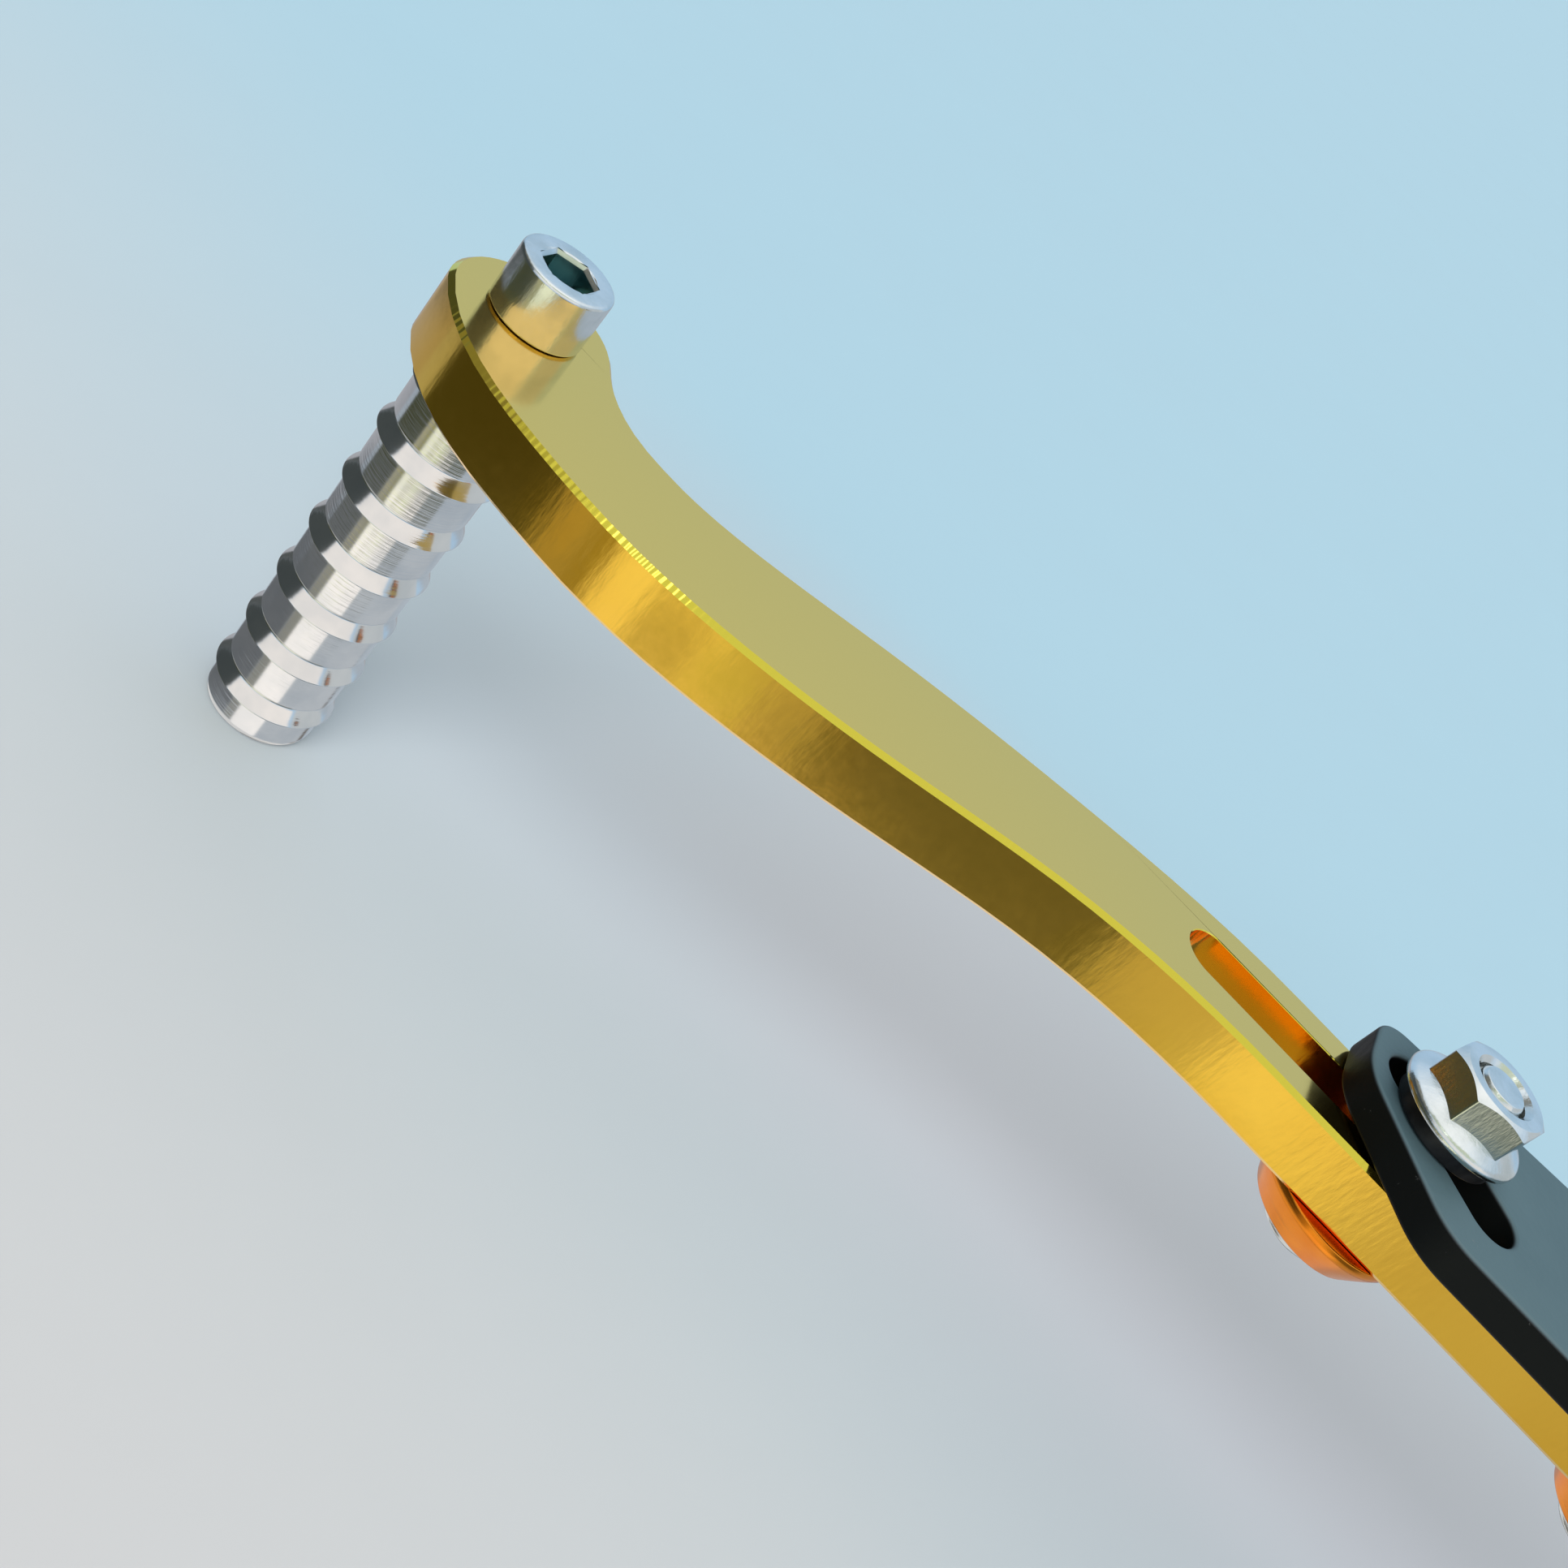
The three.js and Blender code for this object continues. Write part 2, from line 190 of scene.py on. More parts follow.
def hexagon_bar(name, across_flats, bottom, top, turn, bevel):
    """Upright hexagonal bar between two points, with its long edges eased."""
    middle = (bottom + top) / 2
    clear_selection()
    bpy.ops.mesh.primitive_cylinder_add(
        vertices=6,
        radius=across_flats / math.sqrt(3),
        depth=(top - bottom).length,
        location=middle,
        rotation=(0, 0, math.radians(turn + 30)),
    )
    bar = named(name)
    place_in_mesh(bar)

    def upright(edge):
        low, high = (bar.data.vertices[corner].co for corner in edge.vertices)
        return abs(low.z - high.z) > MM / 2

    choose(bar, "EDGE", upright)
    bpy.ops.mesh.bevel(offset=bevel, segments=3)
    bpy.ops.object.mode_set(mode="OBJECT")
    return bar


def socket_cutter(axis, across_flats, mouth, depth, way):
    """Hexagonal socket with a flared mouth and a drilled point, sunk along way from mouth."""
    flare = 0.35 * MM
    over = 0.5 * MM
    corner = across_flats / math.sqrt(3)
    clear_selection()
    bpy.ops.mesh.primitive_cylinder_add(
        vertices=6,
        radius=corner,
        depth=depth,
        location=axis + Vector((0, 0, mouth + way * depth / 2)),
    )
    tool = named("socket_tool")
    place_in_mesh(tool)
    outwards = Vector((0, 0, -way * over))
    choose(tool, "FACE", lambda face: face.normal.z * way < -0.9)
    bpy.ops.transform.translate(value=Vector((0, 0, way * flare)))
    bpy.ops.mesh.extrude_region_move(
        TRANSFORM_OT_translate={"value": Vector((0, 0, -way * flare))}
    )
    spread = (corner + flare) / corner
    centre = axis + Vector((0, 0, mouth))
    bpy.ops.transform.resize(value=(spread, spread, 1), center_override=centre)
    bpy.ops.mesh.extrude_region_move(TRANSFORM_OT_translate={"value": outwards})
    bpy.ops.object.mode_set(mode="OBJECT")
    choose(tool, "FACE", lambda face: face.normal.z * way > 0.9)
    point = Vector((0, 0, way * 0.3 * across_flats))
    bpy.ops.mesh.extrude_region_move(TRANSFORM_OT_translate={"value": point})
    bpy.ops.mesh.merge(type="CENTER")
    bpy.ops.object.mode_set(mode="OBJECT")
    return tool


def section_of(name, node, height):
    """Outline curve of a node where the level plane at this height cuts it."""
    clear_selection()
    frame["nodes"][node].select_set(True)
    bpy.context.view_layer.objects.active = frame["nodes"][node]
    bpy.ops.object.duplicate()
    piece = named(name)
    bpy.ops.object.parent_clear(type="CLEAR_KEEP_TRANSFORM")
    piece.data.materials.clear()
    bpy.ops.object.mode_set(mode="EDIT")
    bpy.ops.mesh.select_mode(type="VERT")
    bpy.ops.mesh.select_all(action="SELECT")
    bpy.ops.mesh.remove_doubles(threshold=0.001 * MM)
    bpy.ops.mesh.dissolve_limited(angle_limit=math.radians(0.1))
    bpy.ops.mesh.select_all(action="SELECT")
    bpy.ops.mesh.bisect(
        plane_co=(0, 0, height),
        plane_no=(0, 0, 1),
        clear_inner=True,
        clear_outer=True,
    )
    bpy.ops.object.mode_set(mode="OBJECT")
    bpy.ops.object.convert(target="CURVE")
    return bpy.context.object


def width_of(spline):
    """How far an outline reaches along X."""
    places = [point.co.x for point in spline.points]
    return max(places) - min(places)


def plate_from(name, node, rim, height=None, rim_steps=0, wanted=None, spare=0.0):
    """The node again as a plate of its own thickness, with its rims finely chamfered or rounded.

    Only the wanted outlines of the section are kept, and spare makes a cutter of it.
    """
    low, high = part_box(node)
    middle = (low.z + high.z) / 2
    piece = section_of(name, node, height or middle)
    for spline in list(piece.data.splines):
        if wanted and not wanted(spline):
            piece.data.splines.remove(spline)
    piece.data.dimensions = "2D"
    piece.data.fill_mode = "BOTH"
    piece.data.extrude = (high.z - low.z) / 2 - rim + spare
    piece.data.bevel_depth = rim
    piece.data.bevel_resolution = rim_steps
    piece.data.offset = -rim
    bpy.ops.object.convert(target="MESH")
    piece = named(name)
    piece.location.z = middle
    place_in_mesh(piece)
    mend(piece)
    return piece


def thread_on(bolt, axis, radius, bottom, top):
    """Raises a 1 mm pitch thread on a bolt's shank."""
    pitch = 1 * MM
    depth = 0.45 * MM
    clear_selection()
    bpy.ops.mesh.primitive_circle_add(
        vertices=3,
        radius=pitch / 2,
        location=axis + Vector((radius - depth, 0, bottom + pitch)),
        rotation=(math.pi / 2, math.pi / 2, 0),
    )
    ridge = named("thread")
    turns = int((top - bottom) / pitch) - 2
    place_in_mesh(ridge)
    bpy.context.scene.cursor.location = axis
    bpy.ops.object.origin_set(type="ORIGIN_CURSOR")
    apply_modifier(
        ridge,
        "SCREW",
        axis="Z",
        angle=FULL_TURN,
        screw_offset=pitch,
        iterations=turns,
        steps=32,
        render_steps=32,
        use_merge_vertices=True,
    )
    bpy.ops.object.mode_set(mode="EDIT")
    bpy.ops.mesh.select_mode(type="VERT")
    bpy.ops.mesh.select_all(action="SELECT")
    bpy.ops.mesh.fill_holes(sides=4)
    bpy.ops.mesh.normals_make_consistent(inside=False)
    bpy.ops.object.mode_set(mode="OBJECT")
    place_in_mesh(ridge)
    pick(bolt)
    ridge.select_set(True)
    bpy.ops.object.join()


def copied(piece, name, shift):
    """The same piece again, with its own mesh, moved by shift."""
    pick(piece)
    bpy.ops.object.duplicate()
    twin = named(name)
    twin.location = shift
    place_in_mesh(twin)
    return twin


def fit(piece, body, slot, finish, *nodes):
    """Gives the piece its finish and body, in place of the nodes it is modelled over; the slot is
    not used.
    """
    piece.data.materials.clear()
    piece.data.materials.append(finish)
    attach(piece, body)
    if nodes:
        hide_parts(*nodes)


# ---------- shader maths ----------
# Outputs of the Texture Coordinate node.
DIRECTION = 0
FACING = 1
OBJECT_PLACE = 3


class Value:
    """A number that changes over a surface. Arithmetic on it adds Math nodes."""

    def __init__(self, tree, socket):
        self.tree = tree
        self.socket = socket

    def maths(self, operation, *terms):
        return self.tree.node("ShaderNodeMath", {"operation": operation}, dict(enumerate(terms)))

    def __add__(self, other):
        return self.maths("ADD", self, other)

    def __sub__(self, other):
        return self.maths("SUBTRACT", self, other)

    def __rsub__(self, other):
        return self.maths("SUBTRACT", other, self)

    def __mul__(self, other):
        return self.maths("MULTIPLY", self, other)

    __radd__ = __add__
    __rmul__ = __mul__

    def between(self, low, high, from_value=0.0, to_value=1.0):
        """Rises smoothly from one value to the other as this number goes from low to high."""
        return self.tree.node(
            "ShaderNodeMapRange",
            {"interpolation_type": "SMOOTHSTEP"},
            {0: self, 1: low, 2: high, 3: from_value, 4: to_value},
        )


class Tree:
    """The nodes of one material or of the world."""

    def __init__(self, owner):
        owner.use_nodes = True
        self.nodes = owner.node_tree.nodes
        self.links = owner.node_tree.links
        self.nodes.clear()

    def node(self, kind, settings=None, inputs=None, output=0):
        made = self.nodes.new(kind)
        for setting, value in (settings or {}).items():
            setattr(made, setting, value)
        for key, value in (inputs or {}).items():
            if isinstance(value, Value):
                self.links.new(value.socket, made.inputs[key])
            else:
                made.inputs[key].default_value = value
        if not made.outputs:
            return None
        return Value(self, made.outputs[output])

    def mix(self, share, first, second):
        """The first colour where share is 0, the second where it is 1."""
        return self.node(
            "ShaderNodeMix",
            {"data_type": "RGBA"},
            {0: share, 6: first, 7: second},
            output=2,
        )

    def place(self, stretch=(1, 1, 1)):
        """Object coordinates, stretched for a pattern."""
        at = self.node("ShaderNodeTexCoord", output=OBJECT_PLACE)
        return self.node("ShaderNodeMapping", {}, {"Vector": at, "Scale": stretch})

    def noise(self, place, scale, detail=2.0, roughness=0.5):
        return self.node(
            "ShaderNodeTexNoise",
            {},
            {"Vector": place, "Scale": scale, "Detail": detail, "Roughness": roughness},
        )

    def parts(self, vector):
        """The three numbers of a vector."""
        return [
            self.node("ShaderNodeSeparateXYZ", {}, {0: vector}, output=axis) for axis in range(3)
        ]

    def facing_up(self):
        """1 where the surface faces straight up, 0 on upright flanks."""
        return self.parts(self.node("ShaderNodeTexCoord", output=FACING))[2]

    def bump(self, height, distance):
        return self.node("ShaderNodeBump", {}, {"Height": height, "Distance": distance})


def colour(red, green, blue):
    return (red, green, blue, 1.0)


def material(name, build):
    made = bpy.data.materials.new(name)
    tree = Tree(made)
    shader = tree.node("ShaderNodeBsdfPrincipled", {}, build(tree))
    tree.node("ShaderNodeOutputMaterial", {}, {"Surface": shader})
    return made


# ---------- finishes ----------
def gold_anodised(tree):
    """Gold anodised aluminium: upright milling marks, a stepped cutter rim and bare chips, with
    painted light: a paler painted sky sheen on the top face and a brighter painted highlight on the
    rim.
    """
    grain = tree.noise(tree.place(), 900.0, 3.0)
    clouds = tree.noise(tree.place(), 45.0, 3.0)
    flank_marks = tree.noise(tree.place((1, 1, 0.22)), 1300.0, 3.0)
    dents = tree.noise(tree.place(), 260.0, 3.0)
    facing = tree.facing_up()
    rim = facing.between(0.25, 0.45) * facing.between(0.95, 0.85)
    top = facing.between(0.9, 0.98)
    steps = tree.node(
        "ShaderNodeTexWave",
        {"bands_direction": "X"},
        {"Vector": tree.place(), "Scale": 420.0, "Distortion": 1.5, "Detail": 1.0},
        output=1,
    )
    chips = tree.noise(tree.place(), 160.0, 4.0, 0.7).between(0.7, 0.73) * rim
    body = tree.mix(clouds.between(0.35, 0.7), colour(0.96, 0.59, 0.10), colour(0.90, 0.53, 0.08))
    # Painted sky sheen: the top face gets a paler, khaki gold of its own.
    body = tree.mix(top, body, colour(0.93, 0.64, 0.17))
    # Painted highlight: the chamfered rim gets a brighter yellow, a gleam along the edge.
    body = tree.mix(rim, body, colour(1.0, 0.80, 0.12))
    flank = (1 - top) * (1 - rim)
    relief = flank * (0.55 * flank_marks + 0.5 * dents) + 0.1 * grain + 0.7 * rim * steps
    return {
        "Base Color": tree.mix(chips, body, colour(0.85, 0.84, 0.82)),
        "Metallic": 1.0,
        "Roughness": 0.07 + 0.06 * clouds + 0.05 * grain,
        "Normal": tree.bump(relief, 0.02 * MM),
    }


def orange_anodised(tree):
    """Gloss orange anodising with fine turning lines."""
    clouds = tree.noise(tree.place(), 160.0, 3.0)
    lines = tree.noise(tree.place((0.05, 0.05, 1)), 2400.0, 2.0)
    body = tree.mix(clouds.between(0.3, 0.7), colour(0.95, 0.31, 0.025), colour(0.86, 0.24, 0.02))
    return {
        "Base Color": body,
        "Metallic": 1.0,
        "Roughness": 0.2 + 0.1 * clouds,
        "Normal": tree.bump(lines, 0.02 * MM),
    }


def black_satin(tree):
    """Satin black coat with painted light: a blue grey painted sky sheen where it faces up, near
    black painted shade on its flanks, and rims lightened partly by rubbed wear and partly by a
    painted edge highlight.
    """
    peel = tree.noise(tree.place(), 700.0, 2.0)
    clouds = tree.noise(tree.place(), 60.0, 4.0)
    facing = tree.facing_up()
    rim = facing.between(0.2, 0.4) * facing.between(0.97, 0.9)
    specks = tree.noise(tree.place(), 420.0, 5.0, 0.75).between(0.66, 0.72)
    # Painted light: a blue grey sky sheen, in cloudy patches, on the faces turned up.
    top = facing.between(0.35, 0.85)
    deep = colour(0.075, 0.125, 0.145)
    pale = colour(0.09, 0.145, 0.165)
    face = tree.mix(clouds.between(0.3, 0.7), deep, pale)
    # Painted shade: the flanks are near black.
    body = tree.mix(top, colour(0.004, 0.005, 0.005), face)
    # Rims lightened in cloudy patches: rubbed wear together with a painted edge highlight.
    body = tree.mix(0.25 * rim * clouds, body, colour(0.12, 0.13, 0.14))
    body = tree.mix(0.3 * specks, body, colour(0.2, 0.2, 0.2))
    return {
        "Base Color": body,
        "Metallic": 0.0,
        "Roughness": 0.36 + 0.14 * clouds,
        "IOR": 1.2,
        "Normal": tree.bump(peel, 0.05 * MM),
    }


def turned_steel(tree):
    """Bright plated steel with fine turning lines round the axis."""
    lines = tree.noise(tree.place((0.04, 0.04, 1)), 3200.0, 3.0, 0.6)
    clouds = tree.noise(tree.place(), 220.0, 3.0)
    body = tree.mix(clouds.between(0.3, 0.7), colour(0.86, 0.85, 0.84), colour(0.74, 0.75, 0.76))
    return {
        "Base Color": body,
        "Metallic": 1.0,
        "Roughness": 0.08 + 0.07 * clouds + 0.04 * lines,
        "Normal": tree.bump(lines, 0.014 * MM),
    }


def plated_steel(tree):
    """Zinc plated fasteners: bright, slightly clouded, with small handling marks."""
    clouds = tree.noise(tree.place(), 300.0, 4.0)
    marks = tree.noise(tree.place((1, 1, 0.3)), 1500.0, 3.0, 0.7)
    body = tree.mix(clouds.between(0.35, 0.7), colour(0.80, 0.83, 0.84), colour(0.66, 0.70, 0.70))
    return {
        "Base Color": body,
        "Metallic": 1.0,
        "Roughness": 0.12 + 0.16 * clouds,
        "Normal": tree.bump(marks, 0.03 * MM),
    }


def steel_with_socket_shade(tree):
    """Plated steel, with painted shade darkening the socket of the toe peg's screw to a teal grey.
    """
    finish = plated_steel(tree)
    low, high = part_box("peg_screw")
    axis = (low + high) / 2
    across, along, up = tree.parts(tree.node("ShaderNodeTexCoord", output=OBJECT_PLACE))
    reach = (across - axis.x) * (across - axis.x) + (along - axis.y) * (along - axis.y)
    inside = reach.between((3.1 * MM) ** 2, (2.8 * MM) ** 2) * up.between(1 * MM, 1.5 * MM)
    below = up.between(high.z - 0.2 * MM, high.z - 0.8 * MM)
    # Painted shade: the socket's walls and bottom are darkened to teal grey, standing for the shade
    # deep in the recess.
    shade = tree.mix(inside * below, finish["Base Color"], colour(0.28, 0.42, 0.42))
    return {**finish, "Base Color": shade}


def dark_steel(tree):
    """Near-black steel washers, with cloudy patches."""
    clouds = tree.noise(tree.place(), 350.0, 4.0)
    body = tree.mix(clouds.between(0.35, 0.7), colour(0.02, 0.02, 0.022), colour(0.05, 0.05, 0.052))
    return {
        "Base Color": body,
        "Metallic": 0.8,
        "Roughness": 0.35 + 0.2 * clouds,
        "Normal": tree.bump(clouds, 0.03 * MM),
    }


gold = material("gold_anodised_finish", gold_anodised)
orange = material("orange_anodised_finish", orange_anodised)
black = material("black_satin_finish", black_satin)
bright_turned = material("turned_steel_finish", turned_steel)
bright_plated = material("plated_steel_finish", plated_steel)
socket_shaded_steel = material("socket_steel_finish", steel_with_socket_shade)
near_black_steel = material("dark_steel_finish", dark_steel)


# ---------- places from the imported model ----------
arm_low, arm_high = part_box("shift_arm")
peg_low, peg_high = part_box("toe_peg")
screw_low, screw_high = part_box("peg_screw")
plate_low, plate_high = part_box("bracket_plate")
hub_low, hub_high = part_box("clamp_hub")
bolt_low, bolt_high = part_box("front_slot_bolt")
rear_low, rear_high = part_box("rear_slot_bolt")
cone_low, cone_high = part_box("front_cone_washer")
washer_low, washer_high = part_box("front_flat_washer")
nut_low, nut_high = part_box("front_flange_nut")
pinch_low, pinch_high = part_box("pinch_bolt")
lock_low, lock_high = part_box("pinch_washer")


def middle_of(low, high):
    """The upright axis through a box, as a point at height 0."""
    centre = (low + high) / 2
    return Vector((centre.x, centre.y, 0))


peg_axis = middle_of(peg_low, peg_high)
bolt_axis = middle_of(bolt_low, bolt_high)
rear_shift = middle_of(rear_low, rear_high) - bolt_axis


# ---------- arm ----------
ARM_RIM = 0.5 * MM
ARM_HOLE_RIM = 0.1 * MM


def shift_arm():
    """The arm's outline with its cutter rim, then the slot and the screw hole cut through it."""
    half = (arm_high.x - arm_low.x) / 2
    arm = plate_from("arm", "shift_arm", ARM_RIM, wanted=lambda spline: width_of(spline) > half)
    holes = plate_from(
        "hole_tool", "shift_arm", 0, wanted=lambda spline: width_of(spline) < half, spare=MM
    )
    cut(arm, holes)
    choose(arm, "EDGE", lambda edge: False)
    bpy.ops.mesh.edges_select_sharp(sharpness=math.radians(60))
    bpy.ops.mesh.bevel(offset=ARM_HOLE_RIM, segments=1)
    bpy.ops.object.mode_set(mode="OBJECT")
    smooth(arm)
    fit(arm, "arm", "gold_anodised", gold, "shift_arm")


# ---------- toe peg ----------
# Radii and heights in millimetres, heights from the plain end.
PEG_BODY = 6.25
PEG_LIP = 6.95
PEG_HOLLOW = 6.39
PEG_GROOVE = 5.75
PEG_LIPS = 7
PEG_PITCH = 7.08
PEG_PLAIN_END = 4.3
PEG_CONE = 1.9
PEG_BORE = 3.2
PEG_BORE_DEPTH = 16


def toe_peg():
    """Seven barbed steps over a plain end, with the screw's bore in the top."""
    length = (peg_high.z - peg_low.z) / MM
    corners = [(0, 0, 0), (PEG_BODY, 0, 1.0)]
    for lip in range(PEG_LIPS):
        height = PEG_PLAIN_END + lip * PEG_PITCH
        corners.append((PEG_BODY, height - 0.35, 0.15))
        corners.append((PEG_LIP, height - 0.1, 0.14))
        corners.append((PEG_HOLLOW, height + 0.75, 0.5))
        corners.append((PEG_GROOVE, height + PEG_CONE, 0.3))
        corners.append((PEG_BODY, height + PEG_CONE + 0.25, 0.12))
    corners.append((PEG_BODY, length, 0))
    corners.append((PEG_BORE, length, 0))
    corners.append((PEG_BORE, length - PEG_BORE_DEPTH, 0))
    corners.append((0, length - PEG_BORE_DEPTH - 1.5, 0))
    peg = turned("toe_peg_turned", corners, peg_axis + Vector((0, 0, peg_low.z)), sides=144)
    smooth(peg)
    fit(peg, "arm", "bright_steel", bright_turned, "toe_peg")


# ---------- screws, bolts, washers and nuts ----------
# Radii, heights and depths in millimetres.
SHANK = 2.95
THREAD_CORE = 2.5
CAP_HEAD = 5.0
CAP_HEIGHT = 6.0
CAP_SOCKET = 5.0
CAP_SOCKET_DEPTH = 3
SEAT_DROP = 0.24
ORIGIN = Vector((0, 0, 0))


def cap_screw(name, length):
    """Socket cap screw standing on the origin by its shank's end."""
    seat = length - CAP_HEIGHT - SEAT_DROP
    mouth = length - 0.1
    corners = [
        (0, 0, 0),
        (THREAD_CORE, 0, 0.1),
        (THREAD_CORE + 0.1, 0.5, 0.1),
        (THREAD_CORE + 0.1, seat - 0.6, 0),
        (SHANK, seat - 0.4, 0),
        (SHANK, seat, 0),
        (CAP_HEAD - 0.25, seat, 0.08),
        (CAP_HEAD, seat + 0.25, 0.1),
        (CAP_HEAD, length, 0.45),
        (CAP_SOCKET / 2 + 0.55, length, 0.05),
        (CAP_SOCKET / 2 + 0.4, mouth, 0.05),
        (0, mouth, 0),
    ]
    screw = turned(name, corners, ORIGIN, sides=96)
    tool = socket_cutter(ORIGIN, CAP_SOCKET * MM, mouth * MM, CAP_SOCKET_DEPTH * MM, DOWN)
    cut(screw, tool)
    thread_on(screw, ORIGIN, SHANK * MM, 0, (seat - 0.4) * MM)
    smooth(screw)
    return screw


def peg_screw():
    """The cap screw down through the arm's boss into the peg."""
    screw = cap_screw("peg_cap_screw", (screw_high.z - screw_low.z) / MM)
    screw.location = middle_of(screw_low, screw_high) + Vector((0, 0, screw_low.z))
    place_in_mesh(screw)
    fit(screw, "arm", "bright_steel", socket_shaded_steel, "peg_screw")


def pinch_bolt():
    """The cap screw across the hub's slit, its head towards +Y."""
    screw = cap_screw("pinch_cap_screw", (pinch_high.y - pinch_low.y) / MM)
    centre = (pinch_low + pinch_high) / 2
    screw.rotation_euler.x = -math.pi / 2
    screw.location = Vector((centre.x, pinch_low.y, centre.z))
    place_in_mesh(screw)
    fit(screw, "bracket", "bright_steel", bright_plated, "pinch_bolt")


def pinch_washer():
    """Split spring washer under the pinch bolt's head."""
    thick = (lock_high.y - lock_low.y) / MM
    outer = (lock_high.x - lock_low.x) / MM / 2
    inner = 3.1
    corners = [
        (inner, 0, 0.15),
        (outer, 0, 0.2),
        (outer, thick, 0.2),
        (inner, thick, 0.15),
    ]
    washer = turned("pinch_spring_washer", corners + corners[:1], ORIGIN, sides=96)
    clear_selection()
    bpy.ops.mesh.primitive_cube_add(
        size=1,
        location=(outer * MM, 0, thick * MM / 2),
        rotation=(math.radians(35), 0, 0),
        scale=(outer * MM, 0.5 * MM, 4 * thick * MM),
    )
    cut(washer, named("split_tool"))
    centre = (lock_low + lock_high) / 2
    washer.rotation_euler.x = -math.pi / 2
    washer.location = Vector((centre.x, lock_low.y, centre.z))
    place_in_mesh(washer)
    smooth(washer)
    fit(washer, "bracket", "bright_steel", bright_plated, "pinch_washer")


BUTTON = 5.25
BUTTON_HEIGHT = 3.3
BUTTON_SOCKET = 4
BUTTON_SOCKET_DEPTH = 2.1
PLAIN_SHANK = 5


def slot_bolt():
    """Button head bolt, head down, its threaded end in the nut."""
    length = (bolt_high.z - bolt_low.z) / MM
    foot = bolt_axis + Vector((0, 0, bolt_low.z))
    corners = [
        (0, 0, 0),
        (2.6, 0, 0.3),
        (BUTTON - 1.1, 0.75, 0.8),
        (BUTTON, 2.5, 0.4),
        (BUTTON, BUTTON_HEIGHT, 0.1),
        (SHANK, BUTTON_HEIGHT, 0),
        (SHANK, BUTTON_HEIGHT + PLAIN_SHANK, 0),
        (THREAD_CORE + 0.1, BUTTON_HEIGHT + PLAIN_SHANK + 0.3, 0),
        (THREAD_CORE + 0.1, length - 0.4, 0.1),
        (THREAD_CORE - 0.2, length, 0.1),
        (0, length, 0),
    ]
    bolt = turned("front_button_bolt", corners, foot, sides=96)
    depth = BUTTON_SOCKET_DEPTH * MM
    cut(bolt, socket_cutter(bolt_axis, BUTTON_SOCKET * MM, bolt_low.z, depth, UP))
    thread_start = bolt_low.z + (BUTTON_HEIGHT + PLAIN_SHANK) * MM
    thread_on(bolt, bolt_axis, SHANK * MM, thread_start, bolt_high.z)
    smooth(bolt)
    return bolt


def cone_washer():
    """Conical washer: wide against the arm, with a recess for the bolt's head."""
    height = (cone_high.z - cone_low.z) / MM + SEAT_DROP
    outer = (cone_high.x - cone_low.x) / MM / 2
    recess = BUTTON + 0.25
    head_seat = height - SEAT_DROP - 3.4
    corners = [
        (recess, 0, 0.2),
        (6.8, 0, 0.35),
        (outer - 0.5, height - 1.9, 0.9),
        (outer, height - 0.9, 0.4),
        (outer, height, 0.2),
        (3.15, height, 0.1),
        (3.15, head_seat, 0.1),
        (recess, head_seat, 0.15),
    ]
    foot = bolt_axis + Vector((0, 0, cone_low.z))
    washer = turned("front_cone_cup", corners + corners[:1], foot, sides=128)
    smooth(washer)
    return washer


def flat_washer():
    """Plain washer between the nut and the plate."""
    thick = (washer_high.z - washer_low.z) / MM
    outer = (washer_high.x - washer_low.x) / MM / 2
    corners = [
        (3.2, 0, 0.1),
        (outer, 0, 0.15),
        (outer, thick, 0.25),
        (3.2, thick, 0.15),
    ]
    foot = bolt_axis + Vector((0, 0, washer_low.z))
    washer = turned("front_plain_washer", corners + corners[:1], foot, sides=96)
    smooth(washer)
    return washer


NUT_FLATS = 10 * MM
NUT_TURN = 7


def flange_nut():
    """Flange nut: chamfered hexagon on a coned flange, with a countersunk bore."""
    height = (nut_high.z - nut_low.z) / MM
    flange = (nut_high.x - nut_low.x) / MM / 2
    foot = bolt_axis + Vector((0, 0, nut_low.z))
    lift = Vector((0, 0, 0.4 * MM))
    top = bolt_axis + Vector((0, 0, nut_high.z))
    nut = hexagon_bar("front_hex_nut", NUT_FLATS, foot + lift, top, NUT_TURN, bevel=0.18 * MM)
    crown = [
        (0, 0, 0),
        (flange, 0, 0),
        (flange, height - 1.7, 0),
        (4.75, height, 0.1),
        (0, height, 0),
    ]
    cut(nut, turned("crown_tool", crown, foot, sides=96), "INTERSECT")
    skirt = [
        (0, 0, 0),
        (flange - 0.1, 0, 0.1),
        (flange, 0.55, 0.3),
        (flange - 0.35, 1.0, 0.25),
        (4.7, 2.15, 0.3),
        (4.5, 2.3, 0),
        (0, 2.3, 0),
    ]
    cut(nut, turned("skirt_tool", skirt, foot, sides=128), "UNION")
    bore = [
        (0, -1, 0),
        (3.05, -1, 0),
        (3.05, height - 0.55, 0),
        (3.55, height, 0),
        (3.55, height + 1, 0),
        (0, height + 1, 0),
    ]
    cut(nut, turned("bore_tool", bore, foot, sides=64))
    smooth(nut)
    return nut


def slot_fasteners():
    """Both fastener sets: the front one is modelled and the rear one is its copy."""
    pieces = [
        (slot_bolt(), "slot_bolt", "button_bolt", "bright_steel", bright_plated),
        (cone_washer(), "cone_washer", "cone_cup", "orange_anodised", orange),
        (flat_washer(), "flat_washer", "plain_washer", "dark_steel", near_black_steel),
        (flange_nut(), "flange_nut", "hex_nut", "bright_steel", bright_plated),
    ]
    for piece, node, kind, slot, finish in pieces:
        twin = copied(piece, "rear_" + kind, rear_shift)
        fit(piece, "front_fastener", slot, finish, "front_" + node)
        fit(twin, "rear_fastener", slot, finish, "rear_" + node)


